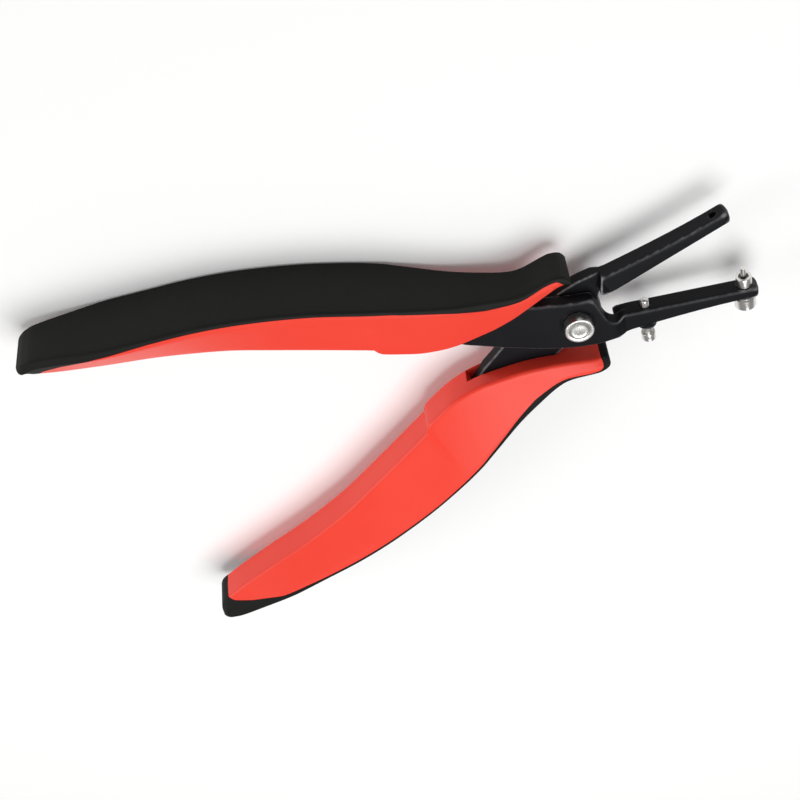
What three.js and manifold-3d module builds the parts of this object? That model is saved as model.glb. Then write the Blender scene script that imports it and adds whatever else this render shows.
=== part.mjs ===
// Hole punch pliers: two black steel levers lapped on one bright pin, each with a red and black
// handle. The lower jaw carries the punch and a stop screw, and the upper jaw has the die hole.
// Millimetres. The tool lies flat on z = 0, the pivot axis is Z and the jaws point along +X.
import * as THREE from 'three';
import { mergeVertices } from 'three/addons/utils/BufferGeometryUtils.js';
import Module from 'manifold-3d';

const wasm = await Module();
wasm.setup();

// Whole tool
const openAngle = THREE.MathUtils.degToRad(13); // each lever, from closed jaws to the pose shown
const overrun = 1; // how far a cutter runs past what it cuts
const lapGap = 0.3; // between the two half-thickness plates
const runningGap = 0.15; // round the pin, and round each screw in its hole

// Pivot pin
const pinRadius = 3.85;
const pinRise = 3; // how far the bright end stands off the front plate
const pinTail = 1; // the same at the back
const pinChamfer = 0.3;
const pinRim = 0.75; // bright ring round the dished middle
const pinDish = 0.5;

// Steel levers, measured with the jaws closed
const plateThickness = 8.2; // both laps together
const plateReach = 8; // from the pin to the heel of its plate
const pinSeatWidth = 0.6; // shallow ring cut into the plate round the pin
const pinSeatDepth = 0.25;
const steelChamfer = 0.45;

// Jaws
const jawLength = 48.2; // pin to tip
const jawThickness = 5.4;
const jawGap = 3.4; // between the two closed jaws
const jawRootDepth = 5.8;
const jawTipDepth = 3.2;
const jawTipRound = 1.4;
const jawEndRound = 1.7; // the same tip, seen along the punch
const throatReach = 14.3; // pin to where the inner face begins
const shoulderReach = 9.8; // pin to the step from half to full thickness
const shoulderLean = 2.6; // how much that step slants
const blendLength = 5.5; // from the plate's thickness to the jaw's

// Handles, measured with the jaws closed
const handleLength = 144; // pin to the end of the handle
const handleReach = 30.5; // centre line to the furthest part of the back
const handleThickness = 20.6;
const noseThickness = 11;
const noseLength = 8; // the thin stretch beside the pin
const taperReach = 56; // pin to where the handle is at its thickest
const tailThickness = 14.8;
const tailTaper = 27;
const backRound = 1.1; // along the rubber back
const sideFlat = 1.4; // flat strip beside that round, on which the tool lies
const palmWidth = 10; // flat red edge that closes on the other handle; the faces lean out from it
const palmRound = 1.2; // corners of that edge
const tailRound = 1.8;
const gripWidth = 2.8; // how far the black rubber laps onto the red faces
const tailCap = 4.5; // black at the end of the handle
const noseCap = 2; // black at the bump beside the pin
const bondGap = 0.2; // between the rubber and the red plastic
const pocketGap = 0.3; // between the tang and the plastic
const mouthReach = 36; // pin to where the plastic closes round the tang

// Punch in the lower jaw and die hole in the upper jaw
const punchSetBack = 3.5; // jaw tip to the middle of the punch
const punchRadius = 0.75;
const punchRise = 5.9; // tip above the jaw's inner face
const punchTipDrop = 0.5; // slant of the tip across the pin
const collarRadius = 2.15;
const collarRise = 3;
const collarBore = 1.35;
const collarBoreDepth = 1.6;
const sleeveRadius = 1.85; // the collar's tail in the jaw
const punchHeadRadius = 2.85;
const punchHeadHeight = 3.8;
const punchHeadGroove = 0.35; // step between the head and its neck
const punchStubLength = 1.5; // the screw's end inside the sleeve
const dieClearance = 0.25;

// Stop screw
const stopReach = 18.3; // pin to the stop screw
const stopRadius = 1.15;
const stopRise = 2.1; // rounded end above the jaw's inner face
const stopBossRadius = 2.6;
const stopBossReach = 8.6; // centre line to the end of the boss
const stopStandOff = 2.7; // bare thread between the boss and the head
const stopHeadRadius = 1.9;
const stopHeadHeight = 2.5;
const screwChamfer = 0.3;
const slotWidth = 0.8;
const slotDepth = 1.1;

const colours = {
  steel: { color: 0x26272b, roughness: 0.45, metalness: 0.85 },
  bright: { color: 0xd9d6d2, roughness: 0.25, metalness: 1 },
  red: { color: 0xf2382b, roughness: 0.35, metalness: 0 },
  rubber: { color: 0x2a2c2a, roughness: 0.75, metalness: 0 },
};

// Edges of the levers as shares of the plate's reach, seen from the front, handle side up
const plateTopShares = [[-1.22, 1.06], [-0.8, 1.015], [-0.49, 0.95], [0, 0.9], [0.49, 0.88]];
const plateFrontShares = [[0.61, 0.8], [0.78, 0.41], [0.9, 0.06], [1.04, -0.2], [1.28, -0.32], [1.56, -0.22]];
const heelShares = [[1.04, -1.06], [0.62, -1.11], [-0.06, -1.08], [-0.71, -0.97], [-1.36, -0.81]];

// Edges of the tang and the handle as shares of the handle's length and reach
const tangBackShares = [
  [0.111, 0.329], [0.166, 0.368], [0.223, 0.432], [0.312, 0.573], [0.417, 0.721], [0.528, 0.844], [0.66, 0.885],
];
const tangFrontShares = [
  [0.66, 0.752], [0.528, 0.649], [0.417, 0.446], [0.347, 0.315], [0.255, 0.131], [0.23, 0.066], [0.207, 0.006],
  [0.164, -0.069], [0.147, -0.102],
];
const backShares = [
  [0, 0.504], [0.004, 0.551], [0.012, 0.587], [0.028, 0.598], [0.045, 0.573], [0.084, 0.497], [0.111, 0.485],
  [0.152, 0.513], [0.215, 0.573], [0.292, 0.688], [0.341, 0.763], [0.459, 0.9], [0.571, 0.978], [0.666, 1],
  [0.764, 0.979], [0.87, 0.953], [0.954, 0.936], [0.983, 0.9], [1, 0.846],
];
const frontShares = [
  [0, 0.504], [0.003, 0.478], [0.021, 0.462], [0.046, 0.394], [0.077, 0.305], [0.105, 0.23],
  [0.143, 0.148], [0.18, 0.092], [0.207, 0.056], [0.222, 0.038], [0.251, 0.024], [0.289, 0.032],
  [0.322, 0.066], [0.36, 0.118], [0.369, 0.168], [0.377, 0.186], [0.413, 0.236], [0.482, 0.33],
  [0.552, 0.422], [0.622, 0.51], [0.691, 0.566], [0.759, 0.606], [0.837, 0.63], [0.92, 0.664],
  [0.96, 0.69], [0.98, 0.706], [0.992, 0.742], [1, 0.79],
];
const gripShares = [
  [0.03, 0.45], [0.05, 0.4], [0.1, 0.63], [0.16, 0.93], [0.2, 0.75], [0.24, 0.57], [0.32, 0.46], [0.45, 0.42],
  [0.6, 0.48], [0.75, 0.54], [0.85, 0.84], [0.92, 1.5], [0.965, 2.2],
];

const jawInner = -jawGap / 2;
const jawRootOuter = jawInner - jawRootDepth;
const jawTipOuter = jawInner - jawTipDepth;
const halfPlate = plateThickness / 2;
const halfJaw = jawThickness / 2;
const punchReach = jawLength - punchSetBack;
const wide = handleLength * 2; // reaches past the whole tool

// Geometries into closed solids, and solids into named pieces
function solid(geometry) {
  geometry.deleteAttribute('normal');
  geometry.deleteAttribute('uv');
  const merged = mergeVertices(geometry);
  return new wasm.Manifold(new wasm.Mesh({
    numProp: 3,
    vertProperties: new Float32Array(merged.attributes.position.array),
    triVerts: new Uint32Array(merged.index.array),
  }));
}

function piece(name, body, finish) {
  const mesh = body.getMesh();
  const geometry = new THREE.BufferGeometry();
  geometry.setAttribute('position', new THREE.BufferAttribute(new Float32Array(mesh.vertProperties), 3));
  geometry.setIndex(new THREE.BufferAttribute(new Uint32Array(mesh.triVerts), 1));
  geometry.computeVertexNormals();
  const made = new THREE.Mesh(geometry, new THREE.MeshStandardMaterial(colours[finish]));
  made.name = name;
  return made;
}

// An outline given a thickness between two heights, with its edges chamfered if asked
function slab(shape, low, high, chamfer = 0) {
  const flat = new THREE.ExtrudeGeometry(shape, {
    depth: high - low - 2 * chamfer,
    bevelEnabled: chamfer > 0,
    bevelThickness: chamfer,
    bevelSize: chamfer,
    bevelOffset: -chamfer,
    bevelSegments: 1,
    curveSegments: 6,
  });
  return solid(flat.translate(0, 0, low + chamfer));
}

// A side view given more width than the whole tool: along the lever, and through its thickness
function widened(shape) {
  const long = new THREE.ExtrudeGeometry(shape, { depth: wide, bevelEnabled: false, curveSegments: 6 });
  return solid(long.translate(0, 0, -wide / 2).rotateX(Math.PI / 2));
}

// A round piece whose axis crosses the jaw: the profile runs outwards along the axis from the -y end
function turned(profile, reach) {
  const points = profile.map(([radius, height]) => new THREE.Vector2(radius, height));
  return solid(new THREE.LatheGeometry(points, 24).translate(reach, 0, 0));
}

function drill(radius, low, high, reach) {
  return turned([[0, low], [radius, low], [radius, high], [0, high]], reach);
}

function onPlate([along, across]) {
  return new THREE.Vector2(along * plateReach, across * plateReach);
}

function onHandle([along, across]) {
  return new THREE.Vector2(-along * handleLength, across * handleReach);
}

// Edges of the tang, from the plate to its end and back, with room round it if asked
function tangEdge(room) {
  const back = tangBackShares.map(onHandle);
  const front = tangFrontShares.map(onHandle);
  back.forEach((point) => point.setY(point.y + room));
  front.forEach((point) => point.setY(point.y - room));
  back.at(-1).setX(back.at(-1).x - room);
  front[0].setX(back.at(-1).x);
  return [...back, ...front];
}

function leverShape() {
  const shape = new THREE.Shape();
  shape.moveTo(throatReach, jawInner);
  shape.lineTo(jawLength - jawTipRound / 2, jawInner);
  shape.lineTo(jawLength, jawInner - jawTipRound / 2);
  shape.lineTo(jawLength, jawTipOuter + jawTipRound);
  shape.quadraticCurveTo(jawLength, jawTipOuter, jawLength - jawTipRound, jawTipOuter);
  shape.quadraticCurveTo(jawLength * 0.72, jawTipOuter, throatReach, jawRootOuter);
  shape.splineThru(heelShares.map(onPlate));
  tangEdge(0).reverse().forEach((point) => shape.lineTo(point.x, point.y));
  plateTopShares.map(onPlate).forEach((point) => shape.lineTo(point.x, point.y));
  shape.splineThru(plateFrontShares.map(onPlate));
  return shape;
}

// Steel lever: the whole outline at the jaw's thickness, with the thicker plate and tang on top
function lever() {
  const outline = leverShape();
  const blendStart = throatReach - blendLength;
  const side = new THREE.Shape();
  side.moveTo(-handleLength, -halfPlate);
  side.lineTo(blendStart, -halfPlate);
  side.bezierCurveTo(blendStart + blendLength / 2, -halfPlate, throatReach - blendLength / 2, -halfJaw + steelChamfer,
    throatReach, -halfJaw + steelChamfer);
  side.lineTo(throatReach, halfJaw - steelChamfer);
  side.bezierCurveTo(throatReach - blendLength / 2, halfJaw - steelChamfer, blendStart + blendLength / 2, halfPlate,
    blendStart, halfPlate);
  side.lineTo(-handleLength, halfPlate);
  const thick = slab(outline, -halfPlate, halfPlate, steelChamfer).intersect(widened(side));
  const end = new THREE.Shape();
  end.moveTo(-handleLength, -halfJaw);
  end.lineTo(jawLength - jawEndRound, -halfJaw);
  end.quadraticCurveTo(jawLength, -halfJaw, jawLength, jawEndRound - halfJaw);
  end.lineTo(jawLength, halfJaw - jawEndRound);
  end.quadraticCurveTo(jawLength, halfJaw, jawLength - jawEndRound, halfJaw);
  end.lineTo(-handleLength, halfJaw);
  const halfCut = new THREE.Shape();
  halfCut.moveTo(-handleLength, handleReach);
  halfCut.lineTo(-handleLength, -handleReach);
  halfCut.lineTo(shoulderReach + shoulderLean * 2, -handleReach);
  halfCut.lineTo(shoulderReach + shoulderLean, jawRootOuter);
  halfCut.lineTo(shoulderReach, jawInner - jawGap * 0.75);
  halfCut.quadraticCurveTo(shoulderReach + jawGap / 2, jawInner, throatReach, jawInner);
  halfCut.lineTo(throatReach, handleReach);
  return slab(outline, -halfJaw, halfJaw, steelChamfer)
    .intersect(widened(end))
    .add(thick)
    .subtract(slab(halfCut, -halfPlate - overrun, lapGap / 2))
    .subtract(pinHole());
}

function pinHole() {
  const bore = pinRadius + runningGap;
  const top = halfPlate + overrun;
  const seat = halfPlate - pinSeatDepth;
  const profile = [[0, -top], [bore, -top], [bore, seat], [bore + pinSeatWidth, seat], [bore + pinSeatWidth, top], [0, top]];
  return turned(profile, 0).rotate([90, 0, 0]);
}

function pivotPin() {
  const top = halfPlate + pinRise;
  const bottom = -halfPlate - pinTail;
  const rim = pinRadius - pinChamfer;
  const profile = [
    [0, bottom], [rim, bottom], [pinRadius, bottom + pinChamfer], [pinRadius, top - pinChamfer], [rim, top],
    [rim - pinRim, top], [rim - pinRim - pinDish, top - pinDish], [0, top - pinDish],
  ];
  return turned(profile, 0).rotate([90, 0, 0]);
}

// The handle's back and front edges as curves, read off at any distance from the pin
function edgeCurve(shares) {
  return new THREE.SplineCurve(shares.map(onHandle)).getPoints(shares.length * 8);
}

function edgeAt(curve, x) {
  const next = Math.max(curve.findIndex((point) => point.x <= x), 1);
  const from = curve[next - 1];
  const to = curve[next];
  const share = THREE.MathUtils.clamp((from.x - x) / (from.x - to.x), 0, 1);
  return THREE.MathUtils.lerp(from.y, to.y, share);
}

const backCurve = edgeCurve(backShares);
const frontCurve = edgeCurve(frontShares);

function handleHalf(distance) {
  const { smoothstep, lerp } = THREE.MathUtils;
  const swell = lerp(noseThickness, handleThickness, smoothstep(distance, noseLength, taperReach));
  const tail = smoothstep(distance, handleLength - tailTaper, handleLength);
  const end = Math.max(tailRound - (handleLength - distance), 0);
  const rounded = tailRound - Math.sqrt(tailRound ** 2 - end ** 2);
  return (swell - tail * (handleThickness - tailThickness)) / 2 - rounded;
}

// Half of the handle's section, a wedge, from the middle of its back to the middle of its palm side
const cornerSteps = 6;

function halfSection(distance) {
  const low = edgeAt(frontCurve, -distance);
  const high = edgeAt(backCurve, -distance);
  const half = handleHalf(distance);
  const room = (high - low) / 4;
  const back = Math.min(backRound, room);
  const flat = Math.min(sideFlat, room);
  const round = Math.min(palmRound, room);
  const palm = Math.min(palmWidth / 2, half * 0.85) - round;
  const across = half - palm;
  const up = high - back - flat - low - round;
  const lean = Math.atan2(across, up) - Math.asin(round / Math.hypot(across, up));
  const points = [];
  for (let i = 0; i < cornerSteps - 1; i += 1) {
    const angle = i / (cornerSteps - 2) * Math.PI / 2;
    points.push(new THREE.Vector2(high - back + Math.cos(angle) * back, half - back + Math.sin(angle) * back));
  }
  points.push(new THREE.Vector2(high - back - flat, half));
  for (let i = 0; i < cornerSteps; i += 1) {
    const angle = THREE.MathUtils.lerp(Math.PI / 2 + lean, Math.PI, i / (cornerSteps - 1));
    points.push(new THREE.Vector2(low + round + Math.cos(angle) * round, palm + Math.sin(angle) * round));
  }
  return points;
}

// Handle: a unit cylinder whose rings are drawn out to that section on both sides
function handleBody() {
  const around = cornerSteps * 4;
  const rings = 48;
  const unit = new THREE.CylinderGeometry(1, 1, 1, around, rings);
  const places = unit.attributes.position;
  for (let i = 0; i < places.count; i += 1) {
    const distance = handleLength * (1 - Math.cos(Math.PI * (0.5 - places.getY(i)))) / 2;
    const section = halfSection(distance);
    const turn = Math.round(Math.atan2(-places.getZ(i), places.getX(i)) / (2 * Math.PI) * around);
    const point = (turn + around) % around;
    const onFront = point < section.length;
    const corner = section[onFront ? point : around - 1 - point];
    const middle = (section.at(0).x + section.at(-1).x) / 2;
    const atCentre = Math.hypot(places.getX(i), places.getZ(i)) < 0.5;
    places.setXYZ(i, -distance, atCentre ? middle : corner.x, atCentre ? 0 : corner.y * (onFront ? 1 : -1));
  }
  return solid(unit);
}

// Everything on the red side of the line where the rubber begins
function coreShape(room) {
  const shape = new THREE.Shape();
  const start = -noseCap + room;
  const end = -handleLength + tailCap - room;
  const edge = gripShares.map(([along, width]) => {
    const x = -along * handleLength;
    return new THREE.Vector2(x, edgeAt(backCurve, x) - width * gripWidth + room);
  });
  shape.moveTo(start, -handleReach);
  shape.lineTo(start, edge[0].y - gripWidth / 2);
  shape.splineThru(edge);
  shape.quadraticCurveTo(end, edge.at(-1).y, end, edge.at(-1).y - gripWidth / 2);
  shape.lineTo(end, -handleReach);
  return shape;
}

function handleCore(body) {
  const pocket = new THREE.Shape(plateTopShares.slice(0, 2).reverse().map(onPlate)
    .map((point) => point.setY(point.y + pocketGap))
    .concat(tangEdge(pocketGap), heelShares.slice(-2).map(onPlate).reverse()));
  const mouth = new THREE.Shape();
  mouth.moveTo(0, -handleReach);
  mouth.lineTo(0, handleReach * 0.25);
  mouth.lineTo(-mouthReach, handleReach * 0.25);
  mouth.lineTo(-mouthReach, -handleReach);
  const low = lapGap / 2 - pocketGap;
  const high = halfPlate + pocketGap;
  return body.intersect(slab(coreShape(0), -handleThickness, handleThickness))
    .subtract(slab(pocket, low, high))
    .subtract(slab(mouth, low, high));
}

function handleGrip(body) {
  return body.subtract(slab(coreShape(bondGap), -handleThickness, handleThickness));
}

// Screw slot across the outer end of a head
function slot(end, width, reach) {
  const cutter = new THREE.BoxGeometry(slotWidth, slotDepth + overrun, width * 2 + overrun);
  return solid(cutter.translate(reach, end + (slotDepth - overrun) / 2, 0));
}

// The punch's collar sits on the jaw, and its sleeve goes through to the jaw's outer face
function punchBush() {
  const seat = jawInner + runningGap;
  const top = jawInner + collarRise;
  const low = jawTipOuter;
  const pinBore = punchRadius + runningGap;
  const stubTop = low + punchStubLength + runningGap;
  return turned([
    [collarBore, low], [sleeveRadius, low], [sleeveRadius, seat], [collarRadius, seat], [collarRadius, top],
    [collarBore, top], [collarBore, top - collarBoreDepth], [pinBore, top - collarBoreDepth], [pinBore, stubTop],
    [collarBore, stubTop], [collarBore, low],
  ], punchReach);
}

function punchPin() {
  const low = jawTipOuter + punchStubLength + runningGap * 2;
  const tip = jawInner + punchRise;
  const tipCut = new THREE.Shape();
  tipCut.moveTo(-punchRadius - overrun, tip + overrun);
  tipCut.lineTo(-punchRadius - overrun, tip);
  tipCut.lineTo(-punchRadius, tip);
  tipCut.lineTo(punchRadius, tip - punchTipDrop);
  tipCut.lineTo(punchRadius + overrun, tip - punchTipDrop);
  tipCut.lineTo(punchRadius + overrun, tip + overrun);
  const cutter = slab(tipCut, -collarRadius, collarRadius).translate([punchReach, 0, 0]);
  return drill(punchRadius, low, tip, punchReach).subtract(cutter);
}

function punchScrew() {
  const seat = jawTipOuter - runningGap;
  const end = seat - punchHeadHeight;
  const neck = punchHeadRadius - punchHeadGroove;
  const stub = collarBore - runningGap;
  return turned([
    [0, end], [punchHeadRadius - screwChamfer, end], [punchHeadRadius, end + screwChamfer],
    [punchHeadRadius, seat - punchHeadGroove * 2], [neck, seat - punchHeadGroove], [neck, seat], [stub, seat],
    [stub, jawTipOuter + punchStubLength], [0, jawTipOuter + punchStubLength],
  ], punchReach).subtract(slot(end, punchHeadRadius, punchReach));
}

function stopScrew() {
  const tip = jawInner + stopRise;
  const neck = -stopBossReach - stopStandOff;
  const end = neck - stopHeadHeight;
  const rounding = stopRadius / 2;
  return turned([
    [0, end], [stopHeadRadius - screwChamfer, end], [stopHeadRadius, end + screwChamfer],
    [stopHeadRadius, neck - screwChamfer], [stopHeadRadius - screwChamfer, neck], [stopRadius, neck],
    [stopRadius, tip - rounding], [stopRadius * 0.8, tip - rounding / 3], [0, tip],
  ], stopReach).subtract(slot(end, stopHeadRadius, stopReach));
}

// Lower jaw's lever: the boss and threaded hole for the stop screw, and the seat for the punch
function punchLever() {
  const boss = drill(stopBossRadius, -stopBossReach, (jawInner + jawRootOuter) / 2, stopReach);
  return lever()
    .add(boss)
    .subtract(drill(stopRadius + runningGap, -stopBossReach - overrun, jawInner + overrun, stopReach))
    .subtract(drill(sleeveRadius + runningGap, jawTipOuter - overrun, jawInner + overrun, punchReach));
}

function dieLever() {
  return lever().subtract(drill(punchRadius + dieClearance, jawRootOuter, jawInner + overrun, punchReach));
}

const frontSide = new THREE.Group();
frontSide.rotation.set(0, 0, -openAngle);
const rearSide = new THREE.Group();
rearSide.rotation.set(Math.PI, 0, -openAngle);

const handle = handleBody();
const core = handleCore(handle);
const grip = handleGrip(handle);

frontSide.add(
  piece('front_lever', punchLever(), 'steel'),
  piece('front_handle_core', core, 'red'),
  piece('front_handle_grip', grip, 'rubber'),
  piece('pivot_pin', pivotPin(), 'bright'),
  piece('punch_collar', punchBush(), 'steel'),
  piece('punch_pin', punchPin(), 'bright'),
  piece('punch_screw', punchScrew(), 'steel'),
  piece('stop_screw', stopScrew(), 'bright'),
);
rearSide.add(
  piece('rear_lever', dieLever(), 'steel'),
  piece('rear_handle_core', core, 'red'),
  piece('rear_handle_grip', grip, 'rubber'),
);

// The origin is under the middle of the tool, on the surface that it lies on
const tool = new THREE.Group();
tool.add(frontSide, rearSide);
const box = new THREE.Box3().setFromObject(tool, true);
tool.position.set(-(box.min.x + box.max.x) / 2, -(box.min.y + box.max.y) / 2, -box.min.z);

export default tool;
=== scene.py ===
# Hole punch pliers, lying open on a pale table: two black steel levers on one bright pin, with
# handles of red plastic and black rubber, a punch in the lower jaw and a die hole in the upper one.
# Lengths are in metres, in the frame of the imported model.
import bpy
import bmesh
import math
import numpy as np
from mathutils import Matrix, Vector


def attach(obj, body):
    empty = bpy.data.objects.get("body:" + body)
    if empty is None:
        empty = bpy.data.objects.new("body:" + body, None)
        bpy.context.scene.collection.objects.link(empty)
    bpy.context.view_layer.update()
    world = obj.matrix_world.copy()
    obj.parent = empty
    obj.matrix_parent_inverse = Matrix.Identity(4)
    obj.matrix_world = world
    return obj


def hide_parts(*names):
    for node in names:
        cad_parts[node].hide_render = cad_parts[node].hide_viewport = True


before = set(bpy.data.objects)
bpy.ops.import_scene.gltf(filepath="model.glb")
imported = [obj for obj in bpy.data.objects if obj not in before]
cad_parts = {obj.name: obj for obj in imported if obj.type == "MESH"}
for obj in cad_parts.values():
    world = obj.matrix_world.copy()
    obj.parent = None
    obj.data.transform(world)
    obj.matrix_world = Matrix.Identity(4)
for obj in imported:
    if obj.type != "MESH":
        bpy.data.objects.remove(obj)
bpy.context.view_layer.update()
mm = 0.001

# Steel levers. Each is one drop forging, ground flat where the two lap on each other and dipped in
# black oxide. The real edges are broken with a file, so the forged shape keeps its planes but no
# sharp corner. Their edges are grey: partly bare steel where the oxide has worn off with handling,
# partly a painted highlight along the edges.
pin_place = Vector((44.232, 0, 10.3)) * mm
half_opening = math.radians(13)
same_point = 0.002 * mm
same_plane = math.radians(0.5)
forging_cell = 0.28 * mm
file_passes, file_strength = 3, 0.5
blur_passes, blur_strength = 5, 0.6
oxide_dark, oxide_light = (0.0045, 0.0047, 0.0058, 1), (0.009, 0.0094, 0.0115, 1)
# Grey of the edges: bare steel where the oxide is worn, and a painted highlight along them.
bare_edge_and_highlight = (0.3, 0.3, 0.31, 1)


def lever_frame(side):
    """Where a lever drawn with its jaws closed stands in the photographed pose."""
    turned = Matrix.Rotation(-half_opening, 4, "Z")
    if side == "rear":
        turned = Matrix.Rotation(math.pi, 4, "X") @ turned
    return Matrix.Translation(pin_place) @ turned


def in_scene(name, data):
    """An object that holds a mesh, a lamp or a camera, put in the scene."""
    made = bpy.data.objects.new(name, data)
    bpy.context.scene.collection.objects.link(made)
    return made


def finished(name, mesh, material, body, cad_node):
    """A finished piece: its mesh holds its place, it rides on a body and stands for a CAD node."""
    made = in_scene(name, mesh)
    if material.name not in mesh.materials:
        mesh.materials.clear()
        mesh.materials.append(material)
    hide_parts(cad_node)
    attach(made, body)


def mesh_from(work, name):
    """The mesh that a bmesh has come to; the bmesh itself is let go."""
    mesh = bpy.data.meshes.new(name)
    work.to_mesh(mesh)
    work.free()
    return mesh


def applied(worked):
    """The mesh that an object's modifiers give, with the object and its modifiers taken away."""
    bpy.context.view_layer.update()
    depsgraph = bpy.context.evaluated_depsgraph_get()
    mesh = bpy.data.meshes.new_from_object(worked.evaluated_get(depsgraph))
    bpy.data.objects.remove(worked)
    return mesh


def copy_of_node(node):
    """A CAD node's solid with its loose triangles joined and its flat faces made one."""
    work = bmesh.new()
    work.from_mesh(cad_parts[node].data)
    bmesh.ops.remove_doubles(work, verts=work.verts, dist=same_point)
    bmesh.ops.dissolve_limit(work, angle_limit=same_plane, verts=work.verts, edges=work.edges)
    name = node + "_work"
    return in_scene(name, mesh_from(work, name))


def smooth_faces(mesh, crease):
    """Shades a mesh smooth, apart from edges that turn by more degrees than its crease."""
    mesh.polygons.foreach_set("use_smooth", [True] * len(mesh.polygons))
    mesh.set_sharp_from_angle(angle=math.radians(crease))


def rows(members, name, width, kind):
    """One value of every vertex or edge of a mesh, as the rows of an array."""
    numbers = np.empty(len(members) * width, dtype=kind)
    members.foreach_get(name, numbers)
    return numbers.reshape(-1, width)


def store_edges(mesh, flat, sharp):
    """Stores an edge mask: 0 up to the flat bend and 1 from the sharp one, in radians per metre."""
    count = len(mesh.vertices)
    places = rows(mesh.vertices, "co", 3, np.float32)
    normals = rows(mesh.vertices, "normal", 3, np.float32)
    ends = rows(mesh.edges, "vertices", 2, np.int32)
    apart = places[ends[:, 1]] - places[ends[:, 0]]
    turn = normals[ends[:, 1]] - normals[ends[:, 0]]
    least = 1e-12
    bend = (turn * apart).sum(1) / np.maximum((apart ** 2).sum(1), least)
    here, there = ends.T.ravel(), ends[:, ::-1].T.ravel()
    near = np.maximum(np.bincount(here, minlength=count), 1)
    value = np.bincount(here, weights=np.tile(bend, 2), minlength=count) / near
    for _ in range(blur_passes):
        around = np.bincount(here, weights=value[there], minlength=count) / near
        value = value * (1 - blur_strength) + around * blur_strength
    mask = np.clip((value - flat) / (sharp - flat), 0, 1).astype(np.float32)
    mesh.attributes.new("edge", "FLOAT", "POINT").data.foreach_set("value", mask)


def wire(tree, node, *placed, **named):
    """Gives a node's inputs, in their order or by name, plain values or other nodes' outputs."""
    chosen = list(zip(node.inputs, placed)) + [(node.inputs[name], named[name]) for name in named]
    for socket, value in chosen:
        if isinstance(value, bpy.types.NodeSocket):
            tree.links.new(value, socket)
        else:
            socket.default_value = value
    return node


def maths(tree, operation, *values):
    node = tree.nodes.new("ShaderNodeMath")
    node.operation = operation
    return wire(tree, node, *values).outputs[0]


def between(tree, low, high, share):
    """A number that goes from low to high as a share goes from 0 to 1."""
    node = tree.nodes.new("ShaderNodeMapRange")
    return wire(tree, node, **{"Value": share, "To Min": low, "To Max": high}).outputs["Result"]


def mixed_colour(tree, one, other, share):
    node = tree.nodes.new("ShaderNodeMix")
    node.data_type = "RGBA"
    return wire(tree, node, A=one, B=other, Factor=share).outputs["Result"]


def relief(tree, height, strength, depth):
    """The normal of a surface that a height raises."""
    node = tree.nodes.new("ShaderNodeBump")
    return wire(tree, node, Strength=strength, Distance=depth, Height=height).outputs["Normal"]


def new_material(name):
    material = bpy.data.materials.new(name)
    material.use_nodes = True
    tree = material.node_tree
    shader = next(node for node in tree.nodes if node.type == "BSDF_PRINCIPLED")
    return material, tree, shader


def new_group(name, kind, inputs, outputs):
    """A node group with named inputs and outputs, what it is given, and the node of its results."""
    group = bpy.data.node_groups.new(name, kind)
    for direction, sockets in (("INPUT", inputs), ("OUTPUT", outputs)):
        for socket, value in sockets.items():
            group.interface.new_socket(socket, in_out=direction, socket_type="NodeSocket" + value)
    return group, group.nodes.new("NodeGroupInput").outputs, group.nodes.new("NodeGroupOutput")


def place_group(tree, group, **values):
    node = tree.nodes.new("ShaderNodeGroup")
    node.node_tree = group
    return wire(tree, node, **values)


def grain_group():
    """Fine surface noise: a mask between 0 and 1 and a height, for steel, plastic and rubber."""
    group, given, results = new_group("surface grain", "ShaderNodeTree",
                                      {"Size": "Float", "Detail": "Float"},
                                      {"Mask": "Float", "Height": "Float"})
    place = group.nodes.new("ShaderNodeTexCoord").outputs["Object"]
    noise = group.nodes.new("ShaderNodeTexNoise")
    wire(group, noise, Vector=place, Scale=given["Size"], Detail=given["Detail"])
    cells = group.nodes.new("ShaderNodeTexVoronoi")
    wire(group, cells, Vector=place, Scale=given["Size"])
    noise_share = 0.5
    height = maths(group, "MULTIPLY_ADD", noise.outputs["Fac"], noise_share, cells.outputs["Distance"])
    wire(group, results, Mask=noise.outputs["Fac"], Height=height)
    return group


def wear_and_highlight_group():
    """Where an edge is worn, and on the steel where a highlight is painted along it: the stored edge mask,
    broken up by noise.
    """
    group, given, results = new_group("rubbed edges", "ShaderNodeTree",
                                      {"Breakup": "Float"}, {"Mask": "Float"})
    stored = group.nodes.new("ShaderNodeAttribute")
    stored.attribute_name = "edge"
    place = group.nodes.new("ShaderNodeTexCoord").outputs["Object"]
    noise = group.nodes.new("ShaderNodeTexNoise")
    wire(group, noise, Vector=place, Scale=given["Breakup"])
    ragged = group.nodes.new("ShaderNodeMapRange")
    wire(group, ragged, **{"Value": noise.outputs["Fac"], "From Max": 0.8})
    wire(group, results, Mask=maths(group, "MULTIPLY", stored.outputs["Fac"], ragged.outputs["Result"]))
    return group


surface_grain = grain_group()
wear_and_highlight_edges = wear_and_highlight_group()


def black_oxide():
    """Black oxide on forged steel: nearly black, a little blue, patchy, its edges grey: part worn bare,
    part a painted highlight.
    """
    material, tree, shader = new_material("black oxide steel")
    grain = place_group(tree, surface_grain, Size=900.0, Detail=6.0).outputs["Height"]
    patches = place_group(tree, surface_grain, Size=90.0, Detail=3.0).outputs["Mask"]
    # The edge mask greys the steel's edges: worn oxide, and a painted highlight along them.
    wear_and_highlight = place_group(tree, wear_and_highlight_edges, Breakup=700.0).outputs["Mask"]
    tone = mixed_colour(tree, oxide_dark, oxide_light, patches)
    wire(tree, shader, **{
        "Base Color": mixed_colour(tree, tone, bare_edge_and_highlight, wear_and_highlight),
        "Roughness": between(tree, low=0.34, high=0.5, share=patches),
        "Normal": relief(tree, grain, strength=0.18, depth=0.05 * mm),
        "Specular IOR Level": 0.1,
    })
    return material


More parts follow.
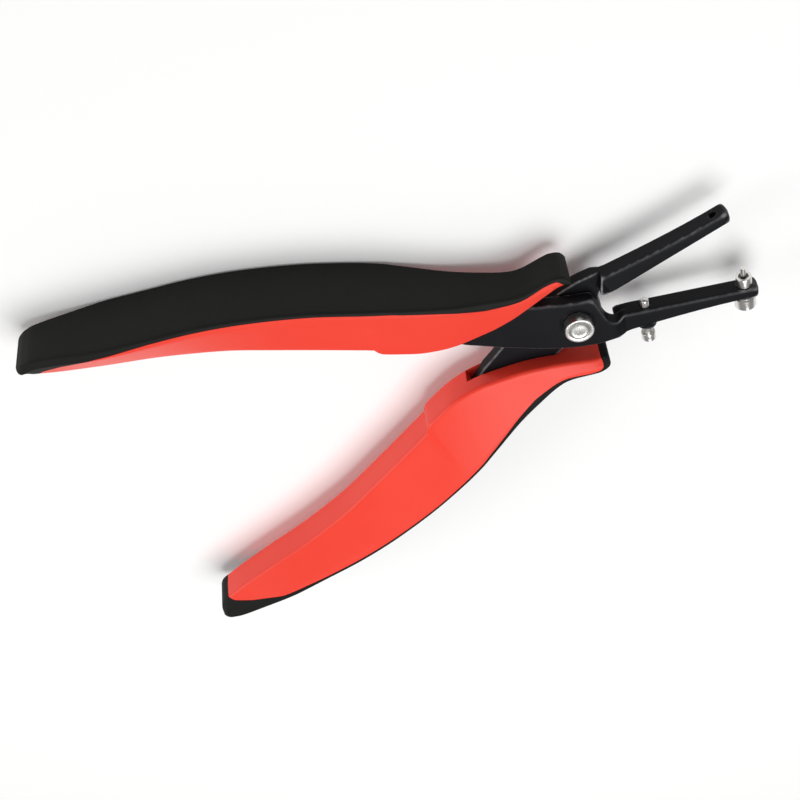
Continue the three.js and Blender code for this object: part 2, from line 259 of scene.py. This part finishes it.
black_steel = black_oxide()
for side in ("front", "rear"):
    # The cells are laid along the lever, so that its straight edges come out straight.
    forging = copy_of_node(side + "_lever")
    forging.data.transform(lever_frame(side).inverted())
    cells = forging.modifiers.new("even faces", "REMESH")
    cells.mode = "VOXEL"
    cells.voxel_size = forging_cell
    filed = forging.modifiers.new("broken edges", "SMOOTH")
    filed.iterations = file_passes
    filed.factor = file_strength
    forged = applied(forging)
    forged.transform(lever_frame(side))
    smooth_faces(forged, crease=60)
    # The edge mask picks out the filed edges, which get both wear and a painted highlight.
    store_edges(forged, flat=420, sharp=1000)
    finished(
        side + "_lever_forging", forged, black_steel, side + "_side", side + "_lever")

# Pivot pin. A turned rivet pressed through both plates and peened over in front: a bright rounded
# rim round a dished middle that the hammer has left uneven. Its tail stands a little proud behind.
pin_radius = 3.85 * mm
plate_half, pin_rise, pin_tail = 4.1 * mm, 3 * mm, 1 * mm
pin_top, pin_bottom = plate_half + pin_rise, -plate_half - pin_tail
rim_round = 0.22 * mm
turned_join = 0.001 * mm
turned_crease = 35
bright_dark, bright_light = (0.72, 0.70, 0.67, 1), (0.86, 0.85, 0.83, 1)
# The dish, from the rim to its middle: distance from the axis and depth below the rim, in mm
pin_dish = (
    (2.86, 0), (2.72, 0.05), (2.5, 0.3), (2.3, 0.42), (1.9, 0.46), (1.2, 0.42), (0.5, 0.4), (0, 0.4))


def turned_mesh(name, profile, steps):
    """A profile of (radius, height) pairs turned round Z, closed where it meets the axis."""
    work = bmesh.new()
    verts = [work.verts.new((radius, 0, height)) for radius, height in profile]
    edges = [work.edges.new(pair) for pair in zip(verts, verts[1:])]
    bmesh.ops.spin(work, geom=verts + edges, cent=(0, 0, 0), axis=(0, 0, 1), angle=2 * math.pi,
                   steps=steps, use_duplicate=False)
    bmesh.ops.remove_doubles(work, verts=work.verts, dist=turned_join)
    bmesh.ops.recalc_face_normals(work, faces=work.faces)
    mesh = mesh_from(work, name)
    smooth_faces(mesh, turned_crease)
    return mesh


def arc(centre, radius, start, end, steps):
    """Points of a rounded corner in a profile, in degrees from the outward direction."""
    angles = [math.radians(start + (end - start) * i / steps) for i in range(steps + 1)]
    return [(centre[0] + radius * math.cos(a), centre[1] + radius * math.sin(a)) for a in angles]


def bright_turned():
    """Bare turned steel: a warm grey mirror, duller in patches, with very fine scratches."""
    material, tree, shader = new_material("bright turned steel")
    scratches = place_group(tree, surface_grain, Size=1500.0, Detail=8.0).outputs["Height"]
    patches = place_group(tree, surface_grain, Size=300.0, Detail=2.0).outputs["Mask"]
    wire(tree, shader, **{
        "Base Color": mixed_colour(tree, bright_dark, bright_light, patches),
        "Roughness": between(tree, low=0.22, high=0.34, share=patches),
        "Normal": relief(tree, scratches, strength=0.04, depth=0.04 * mm),
        "Metallic": 1.0,
    })
    return material


bright_steel = bright_turned()
pin_profile = [(0, pin_bottom)]
pin_profile += arc((pin_radius - rim_round, pin_bottom + rim_round), rim_round, -90, 0, steps=6)
pin_profile += arc((pin_radius - rim_round, pin_top - rim_round), rim_round, 0, 90, steps=6)
pin_profile += [(radius * mm, pin_top - depth * mm) for radius, depth in pin_dish]
pin_mesh = turned_mesh("pivot rivet", pin_profile, steps=64)
pin_mesh.transform(lever_frame("front"))
finished("pivot_rivet", pin_mesh, bright_steel, "front_side", "pivot_pin")

# Handles. A hard core of red plastic is moulded on each tang, and black rubber is moulded over its
# back, its tail and the bump that keeps the hand off the joint. A fine groove marks the seam.
handle_length = 144 * mm
handle_reach = 30.5 * mm
# Edges of a handle, as shares of its length from the pin and of its reach from the middle line
back_shares = [
    (0, 0.504), (0.004, 0.551), (0.012, 0.587), (0.028, 0.598), (0.045, 0.573), (0.084, 0.497),
    (0.111, 0.485), (0.152, 0.513), (0.215, 0.573), (0.292, 0.688), (0.341, 0.763), (0.459, 0.9),
    (0.571, 0.978), (0.666, 1), (0.764, 0.979), (0.87, 0.953), (0.954, 0.936), (0.983, 0.9), (1, 0.846),
]
front_shares = [
    (0, 0.504), (0.003, 0.478), (0.021, 0.462), (0.046, 0.394), (0.077, 0.305), (0.105, 0.23),
    (0.143, 0.148), (0.18, 0.092), (0.207, 0.056), (0.222, 0.038), (0.251, 0.024), (0.289, 0.032),
    (0.322, 0.066), (0.36, 0.118), (0.369, 0.168), (0.377, 0.186), (0.413, 0.236), (0.482, 0.33),
    (0.552, 0.422), (0.622, 0.51), (0.691, 0.566), (0.759, 0.606), (0.837, 0.63), (0.92, 0.664),
    (0.96, 0.69), (0.98, 0.706), (0.992, 0.742), (1, 0.79),
]
# The seam, as shares of the handle's length and of the rubber's usual width below the back
seam_shares = [
    (0.03, 0.45), (0.05, 0.4), (0.1, 0.63), (0.16, 0.93), (0.2, 0.75), (0.24, 0.57), (0.32, 0.46),
    (0.45, 0.42), (0.6, 0.48), (0.75, 0.54), (0.85, 0.84), (0.92, 1.5), (0.965, 2.2),
]
grip_width = 2.8 * mm
tail_cap, nose_cap = 4.5 * mm, 2 * mm
cap_corner = 2.2 * mm
seam_gap = 0.12 * mm
no_seam = -1.0
# Half the handle's thickness beside the pin, with what the palm adds to it and the tail takes off,
# and then where the swell starts, how far it runs and how long the tail's taper is
nose_half, palm_swell, tail_loss = 5.5 * mm, 4.8 * mm, 2.9 * mm
nose_length, swell_run, tail_taper = 8 * mm, 48 * mm, 27 * mm
# The section is a wedge, narrow at the palm and rounded along its back, with a flat strip beside that.
# The palm's half width is never more than its limit, a share of half the thickness there.
back_round, tail_round, palm_round = 1.1 * mm, 1.8 * mm, 1.2 * mm
side_flat = 1.4 * mm
palm_half, palm_limit = 5 * mm, 0.85
palm_points, corner_points, face_points, round_points, back_points = 6, 9, 8, 7, 5
# The bend from the leaning face to the flat strip, in shares of its size: inwards and upwards
strip_bend, bend_size, bend_limit = ((0.4, -1), (0.1, 0), (0, 1)), 0.1 * mm, 0.1
strip_point = 0.6
line_steps = 12
ring_join, shortest_edge = 0.003 * mm, 0.001 * mm
red_dark, red_light = (0.91, 0.054, 0.032, 1), (0.95, 0.068, 0.04, 1)
rubber_dark, rubber_light = (0.008, 0.0082, 0.0074, 1), (0.012, 0.0123, 0.0112, 1)


def smooth_edge(shares):
    """A smooth line through given shares, as distances from the pin and offsets from the middle."""
    points = np.array(shares)
    padded = np.vstack([2 * points[0] - points[1], points, 2 * points[-1] - points[-2]])
    t = np.linspace(0, 1, line_steps, endpoint=False)[:, None]
    runs = []
    for a, b, c, d in zip(padded, padded[1:], padded[2:], padded[3:]):
        square = (2 * a - 5 * b + 4 * c - d) * t ** 2
        cube = (3 * b - 3 * c + d - a) * t ** 3
        runs.append(0.5 * (2 * b + (c - a) * t + square + cube))
    line = np.vstack(runs + [points[-1:]])
    return np.maximum.accumulate(line[:, 0]) * handle_length, line[:, 1] * handle_reach


back_line = smooth_edge(back_shares)
front_line = smooth_edge(front_shares)
seam_line = (np.array(seam_shares) * (handle_length, grip_width)).T


def ease(start, run, d):
    """How far a smooth change has gone at a distance from the pin, from 0 to 1."""
    t = np.clip((d - start) / run, 0, 1)
    return t * t * (3 - 2 * t)


def swell(d):
    """Half the handle's thickness: thin beside the pin, full in the palm, less at the tail."""
    half = nose_half + palm_swell * ease(nose_length, swell_run, d)
    half -= tail_loss * ease(handle_length - tail_taper, tail_taper, d)
    end = max(tail_round - (handle_length - d), 0)
    return half - (tail_round - math.sqrt(tail_round ** 2 - end ** 2))


def seam_at(d):
    """Height of the seam between rubber and plastic; none where the rubber covers the whole end."""
    top = np.interp(d, *back_line) - np.interp(d, *seam_line)
    for gap in (handle_length - tail_cap - d, d - nose_cap):
        if gap < 0:
            return no_seam
        if gap < cap_corner:
            top -= cap_corner - math.sqrt(cap_corner ** 2 - (cap_corner - gap) ** 2)
    return top


def half_section(d):
    """Half of the handle's section, from the middle of its palm side to the middle of its back."""
    low, high, half = np.interp(d, *front_line), np.interp(d, *back_line), swell(d)
    room = (high - low) / 4
    small, flat, large = min(back_round, room), min(side_flat, room), min(palm_round, room)
    palm = min(palm_half, half * palm_limit) - large
    shoulder = high - small - flat
    across, up = half - palm, shoulder - low - large
    lean = math.atan2(across, up) - math.asin(large / math.hypot(across, up))
    size = min(bend_size, flat * bend_limit)
    bend = [(half - size * inwards, shoulder + size * upwards) for inwards, upwards in strip_bend]
    points = [(z, low) for z in np.linspace(0, palm, palm_points)]
    points += [(palm + large * math.cos(a), low + large + large * math.sin(a))
               for a in np.linspace(-math.pi / 2, -lean, corner_points)[1:]]
    points += [tuple(point) for point in np.linspace(points[-1], bend[0], face_points)[1:]]
    points += bend[1:] + [(half, shoulder + flat * strip_point)]
    points += [(half - small + small * math.cos(a), high - small + small * math.sin(a))
               for a in np.linspace(0, math.pi / 2, round_points)]
    points += [(z, high) for z in np.linspace(half - small, 0, back_points)[1:]]
    return points


def cut_section(points, seam, keep_back):
    """Points past the seam gather on it, so that one grid serves both colours."""
    for (z0, y0), (z1, y1) in zip(points, points[1:]):
        if (y0 - seam) * (y1 - seam) < 0:
            crossing = (z0 + (z1 - z0) * (seam - y0) / (y1 - y0), seam)
            break
    else:
        crossing = points[0] if seam <= points[0][1] else points[-1]
    return [crossing if (y < seam if keep_back else y > seam) else (z, y) for z, y in points]


def add_band(work, one, other):
    """Closes the space between two rings that have the same number of points."""
    for i in range(len(one)):
        j = (i + 1) % len(one)
        work.faces.new((one[i], one[j], other[j], other[i]))


def handle_half(name, stations, keep_back):
    """One colour of the handle as a closed shell of rings along the handle."""
    work = bmesh.new()
    rings = []
    for d in stations:
        seam = seam_at(d) + (seam_gap if keep_back else 0)
        points = cut_section(half_section(d), seam, keep_back)
        ring = [(-d, y, z) for z, y in points] + [(-d, y, -z) for z, y in reversed(points)]
        rings.append([work.verts.new(point) for point in ring])
    for one, other in zip(rings, rings[1:]):
        add_band(work, one, other)
    work.faces.new(rings[0])
    work.faces.new(list(reversed(rings[-1])))
    bmesh.ops.remove_doubles(work, verts=work.verts, dist=ring_join)
    bmesh.ops.dissolve_degenerate(work, edges=work.edges, dist=shortest_edge)
    bmesh.ops.recalc_face_normals(work, faces=work.faces)
    return mesh_from(work, name)


# Rings stand closest at the ends and where the seam turns: start, end and spacing of each stretch
cap_start = handle_length - tail_cap
seam_step = 0.01 * mm
ring_stretches = [
    (0, 1.2 * mm, 0.1 * mm),
    (1.3 * mm, nose_cap - seam_step, 0.2 * mm),
    (nose_cap + seam_step, nose_cap + cap_corner, 0.15 * mm),
    (4.4 * mm, 14 * mm, 0.4 * mm),
    (14.5 * mm, cap_start - 2.4 * mm, 0.9 * mm),
    (cap_start - cap_corner, cap_start - seam_step, 0.12 * mm),
    (cap_start + seam_step, handle_length, 0.15 * mm),
]
grip_stations = [d for start, end, spacing in ring_stretches
                 for d in np.linspace(start, end, max(int((end - start) / spacing), 2))]
core_stations = [d for d in grip_stations if nose_cap < d < cap_start]


def red_moulding():
    """Hard red plastic: even colour with a faint cloudiness, semi-gloss, very fine orange peel."""
    material, tree, shader = new_material("red moulded plastic")
    cloud = place_group(tree, surface_grain, Size=60.0, Detail=2.0).outputs["Mask"]
    peel = place_group(tree, surface_grain, Size=700.0, Detail=3.0).outputs["Height"]
    wire(tree, shader, **{
        "Base Color": mixed_colour(tree, red_dark, red_light, cloud),
        "Roughness": between(tree, low=0.3, high=0.42, share=cloud),
        "Normal": relief(tree, peel, strength=0.08, depth=0.05 * mm),
        "Specular IOR Level": 0.3,
    })
    return material


def black_moulding():
    """Soft black rubber: matt, shinier along its worn edges, with its mould's sparked texture."""
    material, tree, shader = new_material("black moulded rubber")
    dust = place_group(tree, surface_grain, Size=120.0, Detail=4.0).outputs["Mask"]
    spark = place_group(tree, surface_grain, Size=1300.0, Detail=5.0).outputs["Height"]
    wear_and_highlight = place_group(tree, wear_and_highlight_edges, Breakup=300.0).outputs["Mask"]
    wire(tree, shader, **{
        "Base Color": mixed_colour(tree, rubber_dark, rubber_light, dust),
        "Roughness": between(tree, low=0.66, high=0.5, share=wear_and_highlight),
        "Normal": relief(tree, spark, strength=0.3, depth=0.06 * mm),
        "Specular IOR Level": 0.16,
    })
    return material


# The slot for the tang, seen from the front. The outline goes round the heel of the lever's plate,
# out along the tang's back and home along its front, with some play beside the tang.
plate_reach = 8 * mm
slot_low, slot_high = -0.15 * mm, 4.4 * mm
slot_play = 0.3 * mm
mouth_reach, mouth_height = 36 * mm, 0.25
heel_back, heel_front = ((-0.8, 1.015), (-1.22, 1.06)), ((-1.36, -0.81), (-0.71, -0.97))
tang_back = ((0.111, 0.329), (0.166, 0.368), (0.223, 0.432), (0.312, 0.573))
tang_front = (
    (0.347, 0.315), (0.255, 0.131), (0.23, 0.066), (0.207, 0.006), (0.164, -0.069), (0.147, -0.102))


def tang_cutter(name):
    """The slot that the steel tang fills, open towards the other lever at the mouth of the handle."""
    tang = [(x * plate_reach, y * plate_reach + slot_play) for x, y in heel_back]
    tang += [(-x * handle_length, y * handle_reach + slot_play) for x, y in tang_back]
    tang += [(-x * handle_length, y * handle_reach - slot_play) for x, y in tang_front]
    tang += [(x * plate_reach, y * plate_reach) for x, y in heel_front]
    top = handle_reach * mouth_height
    mouth = [(0, -handle_reach), (0, top), (-mouth_reach, top), (-mouth_reach, -handle_reach)]
    work = bmesh.new()
    for outline in (tang, mouth):
        lower, upper = ([work.verts.new((x, y, z)) for x, y in outline] for z in (slot_low, slot_high))
        work.faces.new(lower)
        work.faces.new(upper)
        add_band(work, lower, upper)
    bmesh.ops.recalc_face_normals(work, faces=work.faces)
    return in_scene(name, mesh_from(work, name))


def cut_out(piece, cutter, overlapping=False):
    """The mesh that is left of a piece when a cutter, which may overlap itself, is taken out of it."""
    cut = piece.modifiers.new(cutter.name, "BOOLEAN")
    cut.object = cutter
    cut.operation = "DIFFERENCE"
    cut.solver = "EXACT"
    cut.use_self = overlapping
    mesh = applied(piece)
    bpy.data.objects.remove(cutter)
    return mesh


red_plastic = red_moulding()
black_rubber = black_moulding()
moulded_crease = 32
for side in ("front", "rear"):
    body = side + "_side"
    core = in_scene(side + " core work", handle_half(side + " core", core_stations, keep_back=False))
    core_mesh = cut_out(core, tang_cutter(side + " tang slot"), overlapping=True)
    core_mesh.transform(lever_frame(side))
    smooth_faces(core_mesh, moulded_crease)
    finished(
        side + "_handle_red", core_mesh, red_plastic, body, side + "_handle_core")
    grip_mesh = handle_half(side + " grip", grip_stations, keep_back=True)
    grip_mesh.transform(lever_frame(side))
    smooth_faces(grip_mesh, moulded_crease)
    store_edges(grip_mesh, flat=200, sharp=700)
    finished(
        side + "_handle_black", grip_mesh, black_rubber, body, side + "_handle_grip")

# Punch. A turned collar stands on the lower jaw with its sleeve through it, and holds the thin
# hardened punch pin, ground to a slant. A slotted screw in the sleeve backs the pin from below.
jaw_inner = -1.7 * mm
jaw_outer = -4.9 * mm
punch_reach = 44.7 * mm
sleeve_radius, collar_radius, bore_radius, pin_bore_radius = 1.85 * mm, 2.15 * mm, 1.35 * mm, 0.9 * mm
collar_seat = jaw_inner + 0.15 * mm
collar_top = jaw_inner + 3 * mm
collar_round, collar_break = 0.15 * mm, 0.1 * mm
bore_floor = collar_top - 1.6 * mm
screw_room_end = jaw_outer + 1.65 * mm


def across_jaw(reach):
    """Places a piece turned round Z so that it crosses the lower jaw, its top towards the upper one."""
    across = Matrix.Rotation(-math.pi / 2, 4, "X")
    return lever_frame("front") @ Matrix.Translation((reach, 0, 0)) @ across


collar_profile = [
    (bore_radius, jaw_outer), (sleeve_radius, jaw_outer), (sleeve_radius, collar_seat),
    (collar_radius - collar_break, collar_seat), (collar_radius, collar_seat + collar_break),
    *arc((collar_radius - collar_round, collar_top - collar_round), collar_round, 0, 90, steps=4),
    (bore_radius + collar_break, collar_top), (bore_radius, collar_top - collar_break),
    (bore_radius, bore_floor), (pin_bore_radius, bore_floor), (pin_bore_radius, screw_room_end),
    (bore_radius, screw_room_end), (bore_radius, jaw_outer),
]
collar_mesh = turned_mesh("punch collar", collar_profile, steps=56)
collar_mesh.transform(across_jaw(punch_reach))
finished("punch_sleeve", collar_mesh, bright_steel, "front_side", "punch_collar")

punch_radius = 0.75 * mm
punch_low, punch_tip = jaw_outer + 1.8 * mm, jaw_inner + 5.9 * mm
punch_break, punch_slant = 0.05 * mm, 0.5 * mm
near_tip = punch_tip - 0.01 * mm
punch_profile = [
    (0, punch_low), (punch_radius - punch_break, punch_low), (punch_radius, punch_low + punch_break),
    (punch_radius, punch_tip), (0, punch_tip),
]
punch_mesh = turned_mesh("punch pin", punch_profile, steps=40)
for vertex in punch_mesh.vertices:
    if vertex.co.z > near_tip:
        vertex.co.z -= (vertex.co.x + punch_radius) / (2 * punch_radius) * punch_slant
punch_mesh.transform(across_jaw(punch_reach))
finished("punch", punch_mesh, bright_steel, "front_side", "punch_pin")


def thread_tree():
    """Draws a turned shank in to the roots of a screw thread that climbs round Z."""
    inputs = {"Geometry": "Geometry", "Pitch": "Float", "Depth": "Float",
              "Start": "Float", "End": "Float", "Material": "Material"}
    tree, given, results = new_group("screw thread", "GeometryNodeTree", inputs, {"Geometry": "Geometry"})

    def add(kind, *placed, **named):
        return wire(tree, tree.nodes.new(kind), *placed, **named).outputs

    def do(operation, *values):
        return maths(tree, operation, *values)

    place = add("ShaderNodeSeparateXYZ", add("GeometryNodeInputPosition")[0])
    x, y, z = place["X"], place["Y"], place["Z"]
    turns = do("SUBTRACT", do("DIVIDE", z, given["Pitch"]), do("DIVIDE", do("ARCTAN2", y, x), 2 * math.pi))
    flank = do("MULTIPLY", do("PINGPONG", turns, 0.5), 2)
    threaded = do("MULTIPLY", do("GREATER_THAN", z, given["Start"]), do("LESS_THAN", z, given["End"]))
    inward = do("MULTIPLY", do("MULTIPLY", flank, given["Depth"]), threaded)
    radius = do("SQRT", do("ADD", do("MULTIPLY", x, x), do("MULTIPLY", y, y)))
    share = do("DIVIDE", inward, do("MAXIMUM", radius, least_radius))
    step = add("ShaderNodeCombineXYZ", do("MULTIPLY", do("MULTIPLY", x, share), -1),
               do("MULTIPLY", do("MULTIPLY", y, share), -1))
    moved = add("GeometryNodeSetPosition", Geometry=given["Geometry"], Offset=step[0])
    whole = add("GeometryNodeRealizeInstances", moved[0])
    dressed = add("GeometryNodeSetMaterial", Geometry=whole[0], Material=given["Material"])
    wire(tree, results, dressed[0])
    return tree


least_radius = 0.01 * mm
screw_thread = thread_tree()
ring_spacing = 0.05 * mm
slot_width, slot_depth, slot_length = 0.8 * mm, 1.1 * mm, 8 * mm


def shank(radius, low, high):
    """Closely spaced rings of a plain shank, for a thread to be cut in."""
    return [(radius, height) for height in np.linspace(low, high, int((high - low) / ring_spacing) + 1)]


def slotted_screw(name, profile, where, **thread):
    """A turned screw with a cut thread between two heights and a driver slot across its low end."""
    blank = in_scene(name, turned_mesh(name, profile, steps=48))
    cut = blank.modifiers.new("thread", "NODES")
    cut.node_group = screw_thread
    values = dict(thread, Material=bright_steel)
    for socket in screw_thread.interface.items_tree:
        if socket.in_out == "INPUT" and socket.name in values:
            cut[socket.identifier] = values[socket.name]
    # The cutter stands half outside the head, so it is twice as deep as the slot.
    head_end = profile[0][1]
    saw = bmesh.new()
    bmesh.ops.create_cube(saw, size=1)
    bmesh.ops.scale(saw, vec=(slot_width, slot_length, slot_depth * 2), verts=saw.verts)
    bmesh.ops.translate(saw, vec=(0, 0, head_end), verts=saw.verts)
    mesh = cut_out(blank, in_scene(name + " slot", mesh_from(saw, name + " slot")))
    mesh.transform(where)
    smooth_faces(mesh, turned_crease)
    return mesh


head_radius, face_radius, neck_radius, shank_radius = 2.85 * mm, 2.5 * mm, 2.5 * mm, 1.2 * mm
head_top = jaw_outer - 0.15 * mm
head_low = head_top - 3.8 * mm
head_round = 0.3 * mm
head_edge, neck_low = head_top - 0.7 * mm, head_top - 0.35 * mm
backing_end = jaw_outer + 1.5 * mm
backing_profile = [(0, head_low), (face_radius, head_low)]
backing_profile += arc((head_radius - head_round, head_low + head_round), head_round, -90, 0, steps=4)
backing_profile += [(head_radius, head_edge), (neck_radius, neck_low), (neck_radius, head_top)]
backing_profile += shank(shank_radius, head_top, backing_end) + [(0, backing_end)]
backing_mesh = slotted_screw(
    "backing screw", backing_profile, across_jaw(punch_reach),
    Pitch=0.4 * mm, Depth=0.18 * mm, Start=head_top + 0.1 * mm, End=backing_end - 0.15 * mm)
finished("backing_screw", backing_mesh, bright_steel, "front_side", "punch_screw")

# Stop screw. A small plated screw with a slotted cheese head, turned up through a boss on the lower
# jaw until its rounded end stops the upper jaw; a short stretch of its thread is left bare.
stop_reach = 18.3 * mm
stop_neck = -11.3 * mm
stop_low = stop_neck - 2.5 * mm
stop_tip = jaw_inner + 2.1 * mm
stop_radius, stop_face_radius, stop_shank_radius = 1.9 * mm, 1.6 * mm, 1.15 * mm
low_round, high_round = 0.25 * mm, 0.2 * mm
shank_end, thread_end = stop_tip - 0.6 * mm, stop_tip - 0.65 * mm
# The rounded end: distance from the axis and depth below the tip, in mm
stop_end = ((1.08, 0.4), (0.9, 0.2), (0.5, 0.05), (0, 0))
stop_profile = [(0, stop_low), (stop_face_radius, stop_low)]
stop_profile += arc((stop_radius - low_round, stop_low + low_round), low_round, -90, 0, steps=4)
stop_profile += arc((stop_radius - high_round, stop_neck - high_round), high_round, 0, 90, steps=4)
stop_profile += shank(stop_shank_radius, stop_neck, shank_end)
stop_profile += [(radius * mm, stop_tip - depth * mm) for radius, depth in stop_end]
stop_mesh = slotted_screw(
    "stop screw", stop_profile, across_jaw(stop_reach),
    Pitch=0.45 * mm, Depth=0.2 * mm, Start=stop_neck + 0.1 * mm, End=thread_end)
finished("stop_thumb_screw", stop_mesh, bright_steel, "stop", "stop_screw")

# Table and light. A white table under one large soft lamp and a weaker one from the handles' side,
# with a pale surround, as in a catalogue photograph, which leaves a soft shadow close to the tool.
table_half = 3
camera_lift = 0.07
table_mesh = bpy.data.meshes.new("table")
table_corners = [(x * table_half, y * table_half, 0) for x, y in ((-1, -1), (1, -1), (1, 1), (-1, 1))]
table_mesh.from_pydata(table_corners, [], [(0, 1, 2, 3)])
table_white, table_tree, table_shader = new_material("table white")
seen = table_tree.nodes.new("ShaderNodeLightPath").outputs["Is Camera Ray"]
wire(table_tree, table_shader, **{
    "Base Color": (0.95, 0.95, 0.945, 1),
    "Roughness": 0.8,
    "Specular IOR Level": 0.1,
    "Emission Color": (1, 1, 1, 1),
    "Emission Strength": maths(table_tree, "MULTIPLY", seen, camera_lift),
})
table_mesh.materials.append(table_white)
in_scene("table", table_mesh)

world = bpy.data.worlds.new("pale studio")
bpy.context.scene.world = world
world.use_nodes = True
surround = world.node_tree.nodes["Background"]
surround.inputs["Color"].default_value = (1, 1, 1, 1)
surround.inputs["Strength"].default_value = 0.25


def soft_lamp(name, place, size, power):
    """A square lamp that faces the middle of the table."""
    lamp = bpy.data.lights.new(name, "AREA")
    lamp.size = size
    lamp.energy = power
    made = in_scene(name, lamp)
    made.location = place
    made.rotation_euler = (-Vector(place)).to_track_quat("-Z", "Y").to_euler()


soft_lamp("key", place=(0.09, -0.13, 0.8), size=0.66, power=5.4)
soft_lamp("fill", place=(-0.9, 0.35, 0.34), size=0.6, power=3.6)

# Camera: where the photograph was taken from, worked out from the outlines of the two equal levers.
right = Vector((0.90927869, -0.40679414, 0.08792493))
down = Vector((-0.34872667, -0.62938473, 0.69445272))
ahead = Vector((-0.22716069, -0.66211282, -0.71414609))
stand = Vector((56.78148852, 315.87836986, 347.56682307)) * mm + pin_place
camera_data = bpy.data.cameras.new("photograph")
camera_data.sensor_width = 36
camera_data.lens = 80.23
camera_data.clip_start = 0.01
camera = in_scene("photograph", camera_data)
camera.matrix_world = Matrix.Translation(stand) @ Matrix((right, -down, -ahead)).transposed().to_4x4()
bpy.context.scene.camera = camera
bpy.context.scene.view_settings.view_transform = "Standard"
